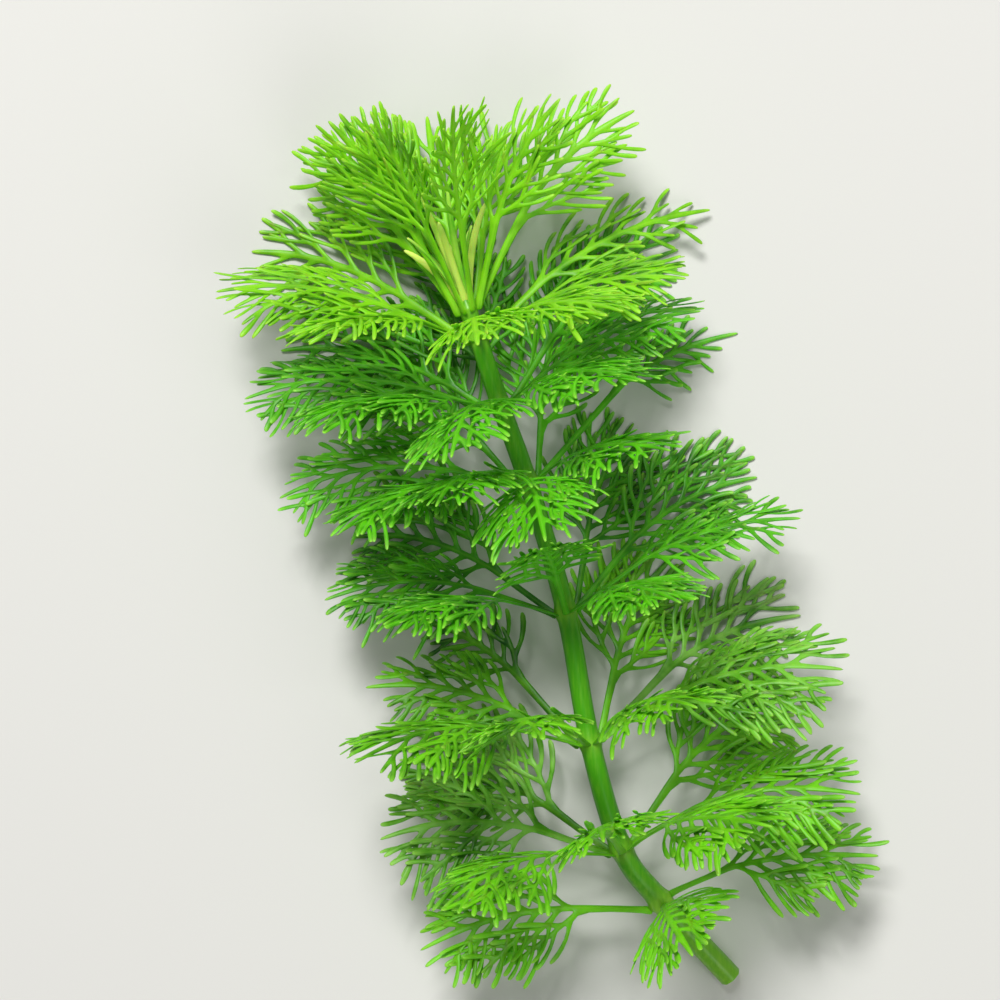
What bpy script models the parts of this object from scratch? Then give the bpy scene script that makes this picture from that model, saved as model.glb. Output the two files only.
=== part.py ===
"""A cut stem of limnophila, a water plant with whorls of finely divided leaves, lying on its back leaves.

Frame: metres, +Z up. The stem runs along +Y from its cut end to its growing tip, leaning to -X, and lies on
the surface z = 0. Its front leaves point up. The origin is the middle of the plant's footprint.
"""

import math

import bmesh
import bpy
from mathutils import Quaternion, Vector

MM = 0.001

# The middle of the plant's footprint, in millimetres in the frame of the numbers below.
FOOTPRINT_MIDDLE = (3.08, 3.05)

# The stem, in millimetres. It is thickest at its cut end and swollen at each node.
CUT_END = (30.8, -64.0, 1.75)
CUT_END_RADIUS = 1.7
STEM_RADIUS = 1.4
TIP_RADIUS = 0.85
NODE_SWELLING = 1.2
NODE_HALF_LENGTH = 0.9
ROUTE_STEPS = 2
TIP_LENGTH = 1.6

# A leaf's blade laid flat: pairs of lobes along a midrib. Widths are in millimetres, and shares are of the
# leaf's length.
LEAF_THICKNESS = 0.5
PETIOLE_HALF_WIDTH = 0.5
MIDRIB_HALF_WIDTH = 0.42
LOBE_HALF_WIDTH = 1.0
BLUNT_TIP = 0.55
PETIOLE_SHARE = 0.17
LOBE_PAIRS = 4
LOBE_STEP = 0.2
LOBE_ROOT = 0.065
LONGEST_LOBE = 0.35
LOBE_TAPER = 0.18
LOBE_TAPER_POWER = 1.5
LOBE_ANGLE = math.radians(39)
LOBE_CURL = math.radians(14)

# How a leaf stands on the stem. It leaves the node toward the tip of the stem and arches outward. Its blade
# faces the stem's tip at the front and turns up toward the back, more so in the crown. It is rolled so that
# its edge passes over its neighbour's, and its lobes hang below the midrib.
LEAF_GAP = 0.3
ARCH = 0.42
ARCH_SHARE = 0.36
FACE_UP = 0.6
CROWN_ROLL = math.radians(28)
LYING_ROLL = math.radians(14)
SIDE_FACE_UP = 0.4
SIDE_FACE_UP_POWER = 1.5
SIDE_ROLL = math.radians(12)
DROOP_SPAN = 26.0

# A leaf whose tip is lower than this ends flat on the surface.
LYING_TIP_HEIGHT = 2.0

# Each whorl from the top down: its node, then how far each leaf's tip is from that node, in millimetres as
# (right, along the stem, up). A back leaf's tip is a little more than the node's height below it, so that the
# end of the leaf is pressed flat.
WHORLS = (
    ((-9.3, 37.6, 13.0), (
        (24.3, 31.0, 2.0), (14.5, 29.5, 10.0), (-0.5, 29.0, 22.5), (-15.0, 28.0, 13.1),
        (-20.0, 28.5, 4.5), (-25.7, 24.6, -6.0), (-7.5, 30.0, -10.5), (8.2, 27.5, -11.0),
    )),
    ((-7.8, 33.3, 12.5), (
        (36.0, 18.6, -10.0), (31.0, 8.5, 8.0), (20.0, 2.0, 26.0), (2.0, -2.0, 34.0),
        (-25.0, -0.7, 23.3), (-38.8, 5.6, 4.9), (-35.0, 12.8, -12.6), (-14.0, 27.0, -13.1),
    )),
    ((-4.4, 23.1, 12.0), (
        (30.0, 13.0, 4.0), (19.5, 2.0, 28.0), (-6.0, -8.0, 33.0), (-29.8, -3.9, 20.0),
        (-38.7, 1.2, 0.9), (-34.0, 9.0, -12.6), (-8.0, 30.0, -12.6), (27.5, 24.4, -12.6),
    )),
    ((-0.3, 11.6, 12.0), (
        (32.5, 23.5, -12.6), (20.3, 4.3, 20.7), (4.0, -8.0, 33.5), (-15.0, -4.0, 31.0),
        (-28.6, -7.4, 16.4), (-38.0, -1.5, -1.7), (-28.0, 22.0, -12.6), (8.0, 32.5, -12.6),
    )),
    ((5.4, -7.8, 12.0), (
        (35.0, 13.5, 5.0), (16.0, 2.0, 27.0), (-3.0, 10.0, 28.0), (-27.6, -1.3, 17.9),
        (-36.8, 2.9, 0.9), (-33.0, 13.0, -12.6), (11.0, 28.5, -12.6), (29.7, 21.0, -12.6),
    )),
    ((9.0, -27.3, 12.0), (
        (38.0, 12.0, 4.0), (15.0, 7.0, 31.0), (-12.0, 3.0, 34.0), (-35.7, -1.4, 20.1),
        (-34.0, 8.1, -1.3), (-28.0, 20.0, -12.6), (13.0, 29.0, -12.6), (33.0, 18.5, -12.6),
    )),
    ((13.8, -43.5, 10.0), (
        (36.0, 10.0, 4.0), (20.0, 5.0, 28.0), (-4.0, 4.0, 34.0), (-28.0, -7.0, 20.0),
        (-37.0, 3.0, 2.0), (-34.0, 14.0, -10.6), (28.0, 24.0, -10.6),
    )),
    ((19.8, -51.8, 7.0), (
        (33.0, 6.0, 3.0), (4.0, -4.0, 30.0), (-36.0, -8.0, 4.0),
    )),
)
FIRST_OLD_WHORL = 5

# The shoot tip, in millimetres: a round foot with a ring of young leaves drawn up from it. Each step is the
# length that the leaves gain, the width that they keep and how far they lean out.
BUD_RADIUS = 0.95
BUD_FOOT_RADIUS = 0.76
BUD_FOOT_HEIGHT = 1.5
BUD_HEADING = (-0.12, 1.0, 0.0)
BUD_LEAVES = 8
BUD_LEAF_INSET = 0.08
BUD_LEAF_STEPS = ((2.4, 0.9, 0.08), (3.6, 0.85, 0.14), (3.2, 0.45, 0.16))


def placed(point):
    """A point given in millimetres, in metres from the middle of the footprint."""
    return (Vector(point) - Vector((*FOOTPRINT_MIDDLE, 0.0))) * MM


def clear_scene():
    for obj in list(bpy.data.objects):
        bpy.data.objects.remove(obj)


def collection(name):
    made = bpy.data.collections.new(name)
    bpy.context.scene.collection.children.link(made)
    return made


def material(name, colour, roughness):
    made = bpy.data.materials.new(name)
    made.use_nodes = True
    shader = made.node_tree.nodes["Principled BSDF"]
    shader.inputs["Base Color"].default_value = (*colour, 1.0)
    shader.inputs["Roughness"].default_value = roughness
    shader.inputs["Metallic"].default_value = 0.0
    return made


def smooth_route(knots):
    """Points along a smooth curve through the knots, ROUTE_STEPS to a span."""
    ends = [2 * knots[0] - knots[1], *knots, 2 * knots[-1] - knots[-2]]
    route = []
    for i in range(1, len(ends) - 2):
        before, start, end, after = ends[i - 1 : i + 3]
        for step in range(ROUTE_STEPS):
            t = step / ROUTE_STEPS
            point = 0.5 * (
                2 * start
                + (end - before) * t
                + (2 * before - 5 * start + 4 * end - after) * t**2
                + (3 * start - before - 3 * end + after) * t**3
            )
            route.append(point)
    route.append(knots[-1])
    return route


def stem_knots():
    """The cut end, the nodes from the base up, and the top of the stem."""
    nodes = [Vector(node) for node, _ in reversed(WHORLS)]
    top = nodes[-1] + (nodes[-1] - nodes[-2]).normalized() * TIP_LENGTH
    return [Vector(CUT_END), *nodes, top]


def stem_axes():
    """The stem's direction at each whorl, from the top whorl down."""
    knots = stem_knots()
    axes = []
    for i in range(len(knots) - 2, 0, -1):
        axes.append((knots[i + 1] - knots[i - 1]).normalized())
    return axes


def node_radius(whorl):
    """The stem's radius at a whorl's node, counted from the top."""
    return NODE_SWELLING * stem_radius(1 - (whorl + 1) / (len(WHORLS) + 1))


def stem_radius(share):
    """The stem's radius between nodes, from its cut end at 0 to its tip at 1."""
    if share < 0.5:
        return CUT_END_RADIUS + (STEM_RADIUS - CUT_END_RADIUS) * share / 0.5
    return STEM_RADIUS + (TIP_RADIUS - STEM_RADIUS) * ((share - 0.5) / 0.5) ** 3


def build_stem(group, finish):
    knots = stem_knots()
    route = smooth_route(knots)
    rings = []
    for i, point in enumerate(route):
        share = i / (len(route) - 1)
        radius = stem_radius(share)
        at_node = i % ROUTE_STEPS == 0 and 0 < i < len(route) - 1
        if not at_node:
            rings.append((point, radius))
            continue
        along = (route[i + 1] - route[i - 1]).normalized() * NODE_HALF_LENGTH
        rings.append((point - along, radius))
        rings.append((point, radius * NODE_SWELLING))
        rings.append((point + along, radius))
    curve = bpy.data.curves.new("stem", "CURVE")
    curve.dimensions = "3D"
    curve.bevel_depth = MM
    curve.bevel_resolution = 2
    curve.use_fill_caps = True
    spline = curve.splines.new("POLY")
    spline.points.add(len(rings) - 1)
    for target, (point, radius) in zip(spline.points, rings):
        target.co = (*placed(point), 1.0)
        target.radius = radius
    obj = bpy.data.objects.new("stem", curve)
    obj.data.materials.append(finish)
    group.objects.link(obj)


def extrude_edge(bm, left, right, new_left, new_right):
    """Extrudes the edge between two vertices of the sheet and returns its new pair of vertices."""
    edge = bm.edges.get((left, right))
    made = bmesh.ops.extrude_edge_only(bm, edges=[edge])["geom"]
    copies = [item for item in made if isinstance(item, bmesh.types.BMVert)]
    copies.sort(key=lambda vert: (vert.co - left.co).length)
    copies[0].co = new_left
    copies[1].co = new_right
    return copies


def grow_lobe(bm, lower, upper, side, length, pieces):
    """Grows one lobe of the flat blade from an edge of the midrib, left for side -1 and right for 1."""
    left, right = (lower, upper) if side < 0 else (upper, lower)
    centre = (left.co + right.co) / 2
    for step in range(pieces):
        angle = LOBE_ANGLE - LOBE_CURL * step
        along = Vector((side * math.sin(angle), math.cos(angle), 0.0))
        across = Vector((-along.y, along.x, 0.0))
        centre = centre + along * length / pieces
        is_tip = step == pieces - 1
        half = LOBE_HALF_WIDTH * (BLUNT_TIP if is_tip else 1.0)
        left, right = extrude_edge(bm, left, right, centre + across * half, centre - across * half)


def flat_leaf(length):
    """The blade laid flat: x across, y along the midrib from the stem, in millimetres."""
    bm = bmesh.new()
    left = bm.verts.new((-PETIOLE_HALF_WIDTH, 0.0, 0.0))
    right = bm.verts.new((PETIOLE_HALF_WIDTH, 0.0, 0.0))
    bm.edges.new((left, right))
    roots = []
    for lobe in range(LOBE_PAIRS):
        start = length * (PETIOLE_SHARE + LOBE_STEP * lobe)
        for y in (start, start + length * LOBE_ROOT):
            below = (left, right)
            at = (Vector((-MIDRIB_HALF_WIDTH, y, 0.0)), Vector((MIDRIB_HALF_WIDTH, y, 0.0)))
            left, right = extrude_edge(bm, left, right, *at)
        roots.append((below, (left, right)))
    blunt = MIDRIB_HALF_WIDTH * BLUNT_TIP
    extrude_edge(bm, left, right, Vector((-blunt, length, 0.0)), Vector((blunt, length, 0.0)))
    for lobe, (lower, upper) in enumerate(roots):
        share = LONGEST_LOBE - LOBE_TAPER * (lobe / (LOBE_PAIRS - 1)) ** LOBE_TAPER_POWER
        pieces = 2 if lobe == 0 else 1
        grow_lobe(bm, lower[0], upper[0], -1, length * share, pieces)
        grow_lobe(bm, lower[1], upper[1], 1, length * share, pieces)
    return bm


class Midrib:
    """The curve of a leaf from the stem to its tip, and how its blade is set on that curve."""

    def __init__(self, node, axis, radius, reach, in_crown):
        reach = Vector(reach)
        outward = (reach - axis * reach.dot(axis)).normalized()
        start = Vector(node) + outward * (radius + LEAF_GAP)
        end = Vector(node) + reach
        chord = end - start
        handle = chord.length * ARCH_SHARE
        heading = chord.normalized()
        first = (heading + axis * ARCH).normalized()
        last = (heading - axis * ARCH).normalized()
        self.lies = end.z < LYING_TIP_HEIGHT
        if self.lies:
            last = Vector((last.x, last.y, 0.0)).normalized()
        self.knots = (start, start + first * handle, end - last * handle, end)
        self.length = self.measure()
        if in_crown or self.lies:
            face_up = min(1.0, FACE_UP * (1 - outward.z))
        else:
            face_up = SIDE_FACE_UP * (1 - outward.z) ** SIDE_FACE_UP_POWER
        self.up = (axis * (1 - face_up) + Vector((0.0, 0.0, face_up))).normalized()
        self.roll = outward.x * (LYING_ROLL if self.lies else CROWN_ROLL if in_crown else SIDE_ROLL)
        self.droop = 0.0 if self.lies else 1 / DROOP_SPAN

    def point(self, t):
        a, b, c, d = self.knots
        s = 1 - t
        return a * s**3 + 3 * b * s**2 * t + 3 * c * s * t**2 + d * t**3

    def tangent(self, t):
        a, b, c, d = self.knots
        s = 1 - t
        return ((b - a) * s**2 + 2 * (c - b) * s * t + (d - c) * t**2).normalized()

    def measure(self, steps=24):
        points = [self.point(i / steps) for i in range(steps + 1)]
        return sum((q - p).length for p, q in zip(points, points[1:]))

    def place(self, flat):
        """Where a point of the flat blade comes to lie."""
        t = flat.y / self.length
        on_curve = min(t, 1.0)
        tangent = self.tangent(on_curve)
        across = tangent.cross(self.up).normalized()
        across.rotate(Quaternion(tangent, self.roll))
        above = across.cross(tangent)
        along = self.point(on_curve) + tangent * (t - on_curve) * self.length
        point = along + across * flat.x - above * flat.x**2 * self.droop
        point.z = max(point.z, LEAF_THICKNESS / 2)
        return point


def build_leaf(name, group, finish, midrib):
    bm = flat_leaf(midrib.length)
    for vert in bm.verts:
        vert.co = placed(midrib.place(vert.co))
    bmesh.ops.recalc_face_normals(bm, faces=bm.faces)
    mesh = bpy.data.meshes.new(name)
    bm.to_mesh(mesh)
    bm.free()
    mesh.materials.append(finish)
    obj = bpy.data.objects.new(name, mesh)
    group.objects.link(obj)
    shell = obj.modifiers.new("thickness", "SOLIDIFY")
    shell.thickness = LEAF_THICKNESS * MM
    shell.offset = 0.0
    shell.use_even_offset = True


def build_bud(group, finish):
    """The growing point: a round foot whose top faces are drawn up into young leaves."""
    knots = stem_knots()
    axis = (knots[-1] - knots[-2]).normalized()
    foot = knots[-1] + axis * LEAF_GAP
    bm = bmesh.new()
    bmesh.ops.create_cone(
        bm, cap_ends=True, cap_tris=True, segments=BUD_LEAVES,
        radius1=BUD_FOOT_RADIUS, radius2=BUD_RADIUS, depth=BUD_FOOT_HEIGHT,
    )
    bmesh.ops.translate(bm, verts=bm.verts, vec=(0.0, 0.0, BUD_FOOT_HEIGHT / 2))
    tops = [face for face in bm.faces if face.normal.z > 0.9]
    bmesh.ops.inset_individual(bm, faces=tops, thickness=BUD_LEAF_INSET)
    for face in tops:
        centre = face.calc_center_median()
        outward = Vector((centre.x, centre.y, 0.0)).normalized()
        for rise, width, lean in BUD_LEAF_STEPS:
            face = bmesh.ops.extrude_discrete_faces(bm, faces=[face])["faces"][0]
            step = (Vector((0.0, 0.0, 1.0)) + outward * lean) * rise
            bmesh.ops.translate(bm, verts=face.verts, vec=step)
            middle = face.calc_center_median()
            for vert in face.verts:
                vert.co = middle + (vert.co - middle) * width
    turn = Vector((0.0, 0.0, 1.0)).rotation_difference(Vector(BUD_HEADING))
    for vert in bm.verts:
        vert.co = placed(foot + turn @ vert.co)
    mesh = bpy.data.meshes.new("shoot_tip")
    bm.to_mesh(mesh)
    bm.free()
    mesh.materials.append(finish)
    group.objects.link(bpy.data.objects.new("shoot_tip", mesh))


def main():
    clear_scene()
    plant = collection("limnophila")
    build_stem(plant, material("stem_green", (0.13, 0.32, 0.03), 0.45))
    build_bud(plant, material("young_leaf_green", (0.45, 0.62, 0.08), 0.5))
    leaf_green = material("leaf_green", (0.16, 0.46, 0.03), 0.5)
    old_leaf_green = material("old_leaf_green", (0.12, 0.34, 0.03), 0.5)
    for i, ((node, reaches), axis) in enumerate(zip(WHORLS, stem_axes())):
        finish = leaf_green if i < FIRST_OLD_WHORL else old_leaf_green
        for j, reach in enumerate(reaches):
            midrib = Midrib(node, axis, node_radius(i), reach, i == 0)
            build_leaf(f"whorl_{i + 1}_leaf_{j + 1}", plant, finish, midrib)


main()
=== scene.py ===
"""The looks of a cut stem of limnophila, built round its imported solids.

Every leaf is a finely divided frond grown strip by strip. It follows the same midrib as the solid that it
stands for. Lengths are in millimetres until the last step, which places them in metres in the solids' frame:
+Z up, the stem along +Y from its cut end to its growing tip.
"""

import math
import random

import bmesh
import bpy
from bpy.props import FloatProperty, FloatVectorProperty, IntProperty, PointerProperty
from bpy.types import NodeSocket, Operator, Panel, PropertyGroup
from mathutils import Matrix, Quaternion, Vector


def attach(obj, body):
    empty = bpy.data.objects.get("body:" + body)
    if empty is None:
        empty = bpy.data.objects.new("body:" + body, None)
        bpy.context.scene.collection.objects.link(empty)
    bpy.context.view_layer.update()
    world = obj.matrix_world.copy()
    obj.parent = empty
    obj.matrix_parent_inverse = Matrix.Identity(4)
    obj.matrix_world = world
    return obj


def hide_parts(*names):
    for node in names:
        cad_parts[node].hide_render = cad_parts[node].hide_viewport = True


bl_info = {
    "name": "Limnophila Stem",
    "version": (1, 0, 0),
    "blender": (4, 5, 0),
    "location": "View3D > Sidebar > Limnophila",
    "description": "Dresses the solids of a cut limnophila stem with feathery leaves, a stem and a young tip",
    "category": "Object",
}

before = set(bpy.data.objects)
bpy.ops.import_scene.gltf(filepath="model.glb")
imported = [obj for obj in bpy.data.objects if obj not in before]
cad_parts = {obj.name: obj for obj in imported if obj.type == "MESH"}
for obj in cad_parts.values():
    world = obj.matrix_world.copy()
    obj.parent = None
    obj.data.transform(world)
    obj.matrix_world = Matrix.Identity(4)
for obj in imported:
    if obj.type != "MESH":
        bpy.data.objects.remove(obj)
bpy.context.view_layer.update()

MM = 0.001
BODY = "root"

# The middle of the plant's footprint, in the frame of the numbers below.
FOOTPRINT_MIDDLE = (3.08, 3.05)

# The stem as in the solids.
CUT_END = (30.8, -64.0, 1.75)
CUT_END_RADIUS = 1.7
STEM_RADIUS = 1.4
TIP_RADIUS = 0.85
NODE_SWELLING = 1.2
TIP_LENGTH = 1.6

# It thins evenly up to its middle, and then mostly near its tip.
STEM_MIDDLE = 0.5
TIP_TAPER_POWER = 3

# A leaf's stance as in the solids: its gap to the stem, how far it arches away from its chord, and how far
# its blade faces up and rolls to its side.
LEAF_GAP = 0.3
ARCH = 0.42
ARCH_SHARE = 0.36
FACE_UP = 0.6
CROWN_ROLL = math.radians(28)
LYING_ROLL = math.radians(14)
SIDE_FACE_UP = 0.4
SIDE_FACE_UP_POWER = 1.5
SIDE_ROLL = math.radians(12)
LYING_TIP_HEIGHT = 2.0

# A blade's sides hang by the square of their distance from the rachis, over this length. The lobes of the
# solids, which are wider, hang more.
DROOP_SPAN = 42.0

# Strips that would stand above this height are bent back by this share, so that they stay in the solids' box.
FRONT_HEIGHT = 45.0
FRONT_SQUEEZE = 0.5

# Each whorl from the top down: its node, then how far each leaf's tip is from that node, both as (right,
# along the stem, up).
WHORLS = (
    ((-9.3, 37.6, 13.0), (
        (24.3, 31.0, 2.0), (14.5, 29.5, 10.0), (-0.5, 29.0, 22.5), (-15.0, 28.0, 13.1),
        (-20.0, 28.5, 4.5), (-25.7, 24.6, -6.0), (-7.5, 30.0, -10.5), (8.2, 27.5, -11.0),
    )),
    ((-7.8, 33.3, 12.5), (
        (36.0, 18.6, -10.0), (31.0, 8.5, 8.0), (20.0, 2.0, 26.0), (2.0, -2.0, 34.0),
        (-25.0, -0.7, 23.3), (-38.8, 5.6, 4.9), (-35.0, 12.8, -12.6), (-14.0, 27.0, -13.1),
    )),
    ((-4.4, 23.1, 12.0), (
        (30.0, 13.0, 4.0), (19.5, 2.0, 28.0), (-6.0, -8.0, 33.0), (-29.8, -3.9, 20.0),
        (-38.7, 1.2, 0.9), (-34.0, 9.0, -12.6), (-8.0, 30.0, -12.6), (27.5, 24.4, -12.6),
    )),
    ((-0.3, 11.6, 12.0), (
        (32.5, 23.5, -12.6), (20.3, 4.3, 20.7), (4.0, -8.0, 33.5), (-15.0, -4.0, 31.0),
        (-28.6, -7.4, 16.4), (-38.0, -1.5, -1.7), (-28.0, 22.0, -12.6), (8.0, 32.5, -12.6),
    )),
    ((5.4, -7.8, 12.0), (
        (35.0, 13.5, 5.0), (16.0, 2.0, 27.0), (-3.0, 10.0, 28.0), (-27.6, -1.3, 17.9),
        (-36.8, 2.9, 0.9), (-33.0, 13.0, -12.6), (11.0, 28.5, -12.6), (29.7, 21.0, -12.6),
    )),
    ((9.0, -27.3, 12.0), (
        (38.0, 12.0, 4.0), (15.0, 7.0, 31.0), (-12.0, 3.0, 34.0), (-35.7, -1.4, 20.1),
        (-34.0, 8.1, -1.3), (-28.0, 20.0, -12.6), (13.0, 29.0, -12.6), (33.0, 18.5, -12.6),
    )),
    ((13.8, -43.5, 10.0), (
        (36.0, 10.0, 4.0), (20.0, 5.0, 28.0), (-4.0, 4.0, 34.0), (-28.0, -7.0, 20.0),
        (-37.0, 3.0, 2.0), (-34.0, 14.0, -10.6), (28.0, 24.0, -10.6),
    )),
    ((19.8, -51.8, 7.0), (
        (33.0, 6.0, 3.0), (4.0, -4.0, 30.0), (-36.0, -8.0, 4.0),
    )),
)
FIRST_MIDDLE_WHORL = 2
FIRST_OLD_WHORL = 5

# How bright each whorl's leaves are, from 0, deep green, to 1, bright green. Leaves at the back are darkened
# by painted shade, and leaves that reach to the front are brightened by painted light.
WHORL_TONES = (0.9, 0.74, 0.78, 0.84, 0.68, 0.6, 0.8, 0.85)
TONE_SPREAD = 0.16
PINNA_TONE_SPREAD = 0.16
PAINTED_BACK_SHADE = 0.12
PAINTED_FRONT_LIGHT = 0.12
FRONT_REACH = 24.0

# Leaves that have begun to fade, as whorl and leaf counted from 0, and how far.
FADED_LEAVES = {(5, 7): 0.35, (5, 0): 0.2, (6, 4): 0.3, (6, 5): 0.35}

# A leaf's foot starts this deep within the stem and narrows from there: each stop is how far from the start
# it is and how wide the rachis is there, as a share.
BASE_DEPTH = 0.75
FOOT_WIDTH = 1.6
BASE_STOPS = ((1.0, 1.3), (2.2, 1.06))

# The outlines of strips: how far along each stop is, how wide the strip is there, as shares, and how pale.
SEGMENT_STOPS = ((0.34, 0.82, 0.0), (0.78, 1.14, 0.4), (1.0, 0.76, 1.0))
END_STOPS = ((0.6, 1.0, 0.3), (1.0, 0.66, 1.0))

# The outline of a young leaf that is still folded into a strap.
STRAP_STOPS = (
    (0.3, 1.0, 0.0), (0.45, 1.12, 0.0), (0.6, 1.15, 0.1),
    (0.75, 1.05, 0.3), (0.9, 0.8, 0.6), (1.0, 0.45, 1.0),
)

# Whorls whose leaves are bare for longer than the others of their form, and by what share of the leaf.
LONGER_PETIOLES = {0: 0.1, 3: 0.04, 4: 0.12}

# Single leaves that are bare for longer still, as whorl and leaf counted from 0, by a share of the leaf.
LONG_STALKED_LEAVES = {(3, 0): 0.26, (2, 7): 0.1, (5, 5): 0.12, (5, 7): 0.1}

# Single leaves that are narrower than the others of their form: what is left of their pinnae's length.
NARROW_LEAVES = {
    (0, 0): 0.8, (0, 1): 0.72, (0, 2): 0.8, (0, 3): 0.85, (0, 7): 0.8, (1, 0): 0.62, (2, 5): 0.78,
    (2, 7): 0.8, (3, 0): 0.42, (4, 0): 0.7, (5, 4): 0.7, (5, 5): 0.5, (5, 7): 0.75,
}

# Two roots closer than this share of a strip have no edge between them.
TOUCHING = 1e-6

# The paleness of a leaf's foot ends at this share of the leaf.
FOOT_SHARE = 0.5

# How a leaf varies as a whole, and the most that its rachis may give to one root, as a share of the room.
LEAF_SPREAD = (0.86, 1.12)
ROOT_ROOM = 0.72
ROOT_SCATTER = 0.12
RACHIS_END_WIDTH = 1.2

# Pinnae: how much smaller their angle is at the tip of the leaf, how fast they get shorter toward it, how
# far their numbers vary, how wide and thick they are as shares of a segment's width and of the rachis's
# thickness, and how far along the leaf the longest of them reaches.
PINNA_ANGLE_LOSS = 0.22
PINNA_TAPER_POWER = 1.25
PINNA_ANGLE_SPREAD = 0.16
PINNA_LENGTH_SPREAD = 0.18
PINNA_END_SPREAD = 0.5
PINNA_WIDTH = 0.86
PINNA_THICKNESS = 0.72
PINNA_TURN = 0.6
PINNA_MEAN_ANGLE = 0.6
LONGEST_PINNA_TIP = 0.96

# Segments: the bare start of a pinna, in spacings, how far their numbers vary, and their thickness.
BARE_SPACINGS = 0.55
SEGMENT_LENGTH_SPREAD = 0.16
SEGMENT_ANGLE_SPREAD = 0.15
SEGMENT_WIDTH_SPREAD = 0.1
SEGMENT_THICKNESS = 0.58

# Strips weep at their ends. Droop and rise are shares of their length. Segments on the two sides of a pinna
# part a little, so that they pass over their neighbours. Every second segment is on its pinna's inner side.
PINNA_DROOP = (-0.04, 0.16)
OUTER_DROOP = (-0.25, 0.15)
INNER_RISE = (-0.15, 0.3)
INNER_EVERY = 2
OUTER_FAN = math.radians(6)
OUTER_FAN_SPREAD = 0.6

# How long a segment's root is and how far it is shifted, as shares of the spacing.
ROOT_SHARE = 0.74
ROOT_SHIFT = 0.12

# How far a strip is turned about its own length, as a slope, and how soon after its root it has that turn. A
# whole leaf bows sideways by a share of its length.
STRIP_TURN = 0.55
TURN_GROWTH = 3
LEAF_BOW = 0.06

# The seeds of two whorls or of two rings of young leaves are this far apart.
SEED_STEP = 100

# Fronds that cross each other near the surface keep these heights above it.
LYING_LAYERS = (0.24, 0.38, 0.52)

# The photograph's view, in millimetres: what its centre looks at, how far away the camera is from the stem's
# height, how wide the view is there, and, in metres, where it starts.
VIEW_CENTRE = (-4.5, 8.95)
VIEW_HEIGHT = 12.5
VIEW_DISTANCE = 520.0
VIEW_WIDTH = 150.0
SENSOR_WIDTH = 36.0
NEAREST_SEEN = 0.01

# The studio light, in metres from the middle of the view's floor: where each lamp stands and how wide it is.
KEY_PLACE = (-0.2, 0.66, 1.02)
KEY_WIDTH = 0.4
FILL_PLACE = (0.35, -0.45, 0.6)
FILL_WIDTH = 0.6

# Sizes of the patterns. A real leaf's cells are about a fifth as large and wouldn't show, so they are drawn
# larger.
PATCH_SIZE = 5.0
PATCH_STRENGTH = 0.36
LEAF_CELL_SIZE = 0.25
LEAF_RELIEF = 0.03
STREAK_WIDTH = 0.5
STREAK_STRETCH = 0.08
STREAK_RELIEF = 0.05
PITH_CELL_SIZE = 0.16
PITH_RELIEF = 0.04
MOTTLE_SIZE = 30.0

# Most of a noise pattern's values lie between these two.
NOISE_LOW, NOISE_HIGH = 0.3, 0.7

# The vein of a strip: how pale it is, and where its paleness starts and stops to fall, as shares of half the
# strip's width.
VEIN_PALENESS = 0.18
VEIN_EDGE = (0.05, 0.55)

# The ends of strips: from which value on they turn paler, and how pale they get. Their paleness is partly the
# ends' own paler tissue and partly a painted highlight.
END_PALENESS_START = 0.3
END_PALENESS_AND_HIGHLIGHT = 0.65

# Patches with values below the first of these are not faded at all, and those above the second are fully so.
FADE_EDGE = (0.42, 0.6)

# How much the streaks of the stem darken and brighten it, and how wide and how dark the walls of its pith's
# cells are.
STREAK_SHIFT = (-0.22, 0.28)
PITH_WALL_WIDTH = 0.16
PITH_WALL_DARKNESS = 0.45

# Wet tissue bends light a little more than water does, and its skin is smoother on the stem than on leaves.
LEAF_IOR, STEM_IOR, PITH_IOR = 1.4, 1.42, 1.38
LEAF_ROUGHNESS = (0.34, 0.52)
STEM_ROUGHNESS = 0.38
PITH_ROUGHNESS = 0.3
BOARD_ROUGHNESS = (0.75, 0.85)

# How strongly each grain tilts the surface, and how much of the light is scattered beneath the skin.
LEAF_GRAIN, STEM_GRAIN, PITH_GRAIN = 0.35, 0.3, 0.5
LEAF_TRANSLUCENCE = 0.5
STEM_TRANSLUCENCE = 0.2

# Green light goes deepest into living tissue, and blue light is swallowed near its surface.
SUBSURFACE_RADIUS = (0.45, 1.0, 0.12)
LEAF_LIGHT_DEPTH = 0.5
STEM_LIGHT_DEPTH = 0.8

# Sockets of a colour Mix node, which shows several under the same name.
MIX_FACTOR, MIX_A, MIX_B, MIX_RESULT = 0, 6, 7, 2


def linear(hex_code):
    """An sRGB hex colour as linear red, green and blue."""
    channels = [int(hex_code[i : i + 2], 16) / 255 for i in (1, 3, 5)]
    return tuple(c / 12.92 if c <= 0.04045 else ((c + 0.055) / 1.055) ** 2.4 for c in channels)


def length_setting(name, description, millimetres):
    return FloatProperty(
        name=name, description=description, default=millimetres * MM, min=0.0, precision=5,
        unit="LENGTH", subtype="DISTANCE",
    )


def share_setting(name, description, share):
    return FloatProperty(
        name=name, description=description, default=share, min=0.0, max=1.0, subtype="FACTOR",
    )


def angle_setting(name, description, degrees):
    return FloatProperty(
        name=name, description=description, default=math.radians(degrees), unit="ROTATION", subtype="ANGLE",
    )


def colour_setting(name, description, hex_code):
    return FloatVectorProperty(
        name=name, description=description, default=linear(hex_code), size=3, min=0.0, max=1.0,
        subtype="COLOR",
    )


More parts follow.
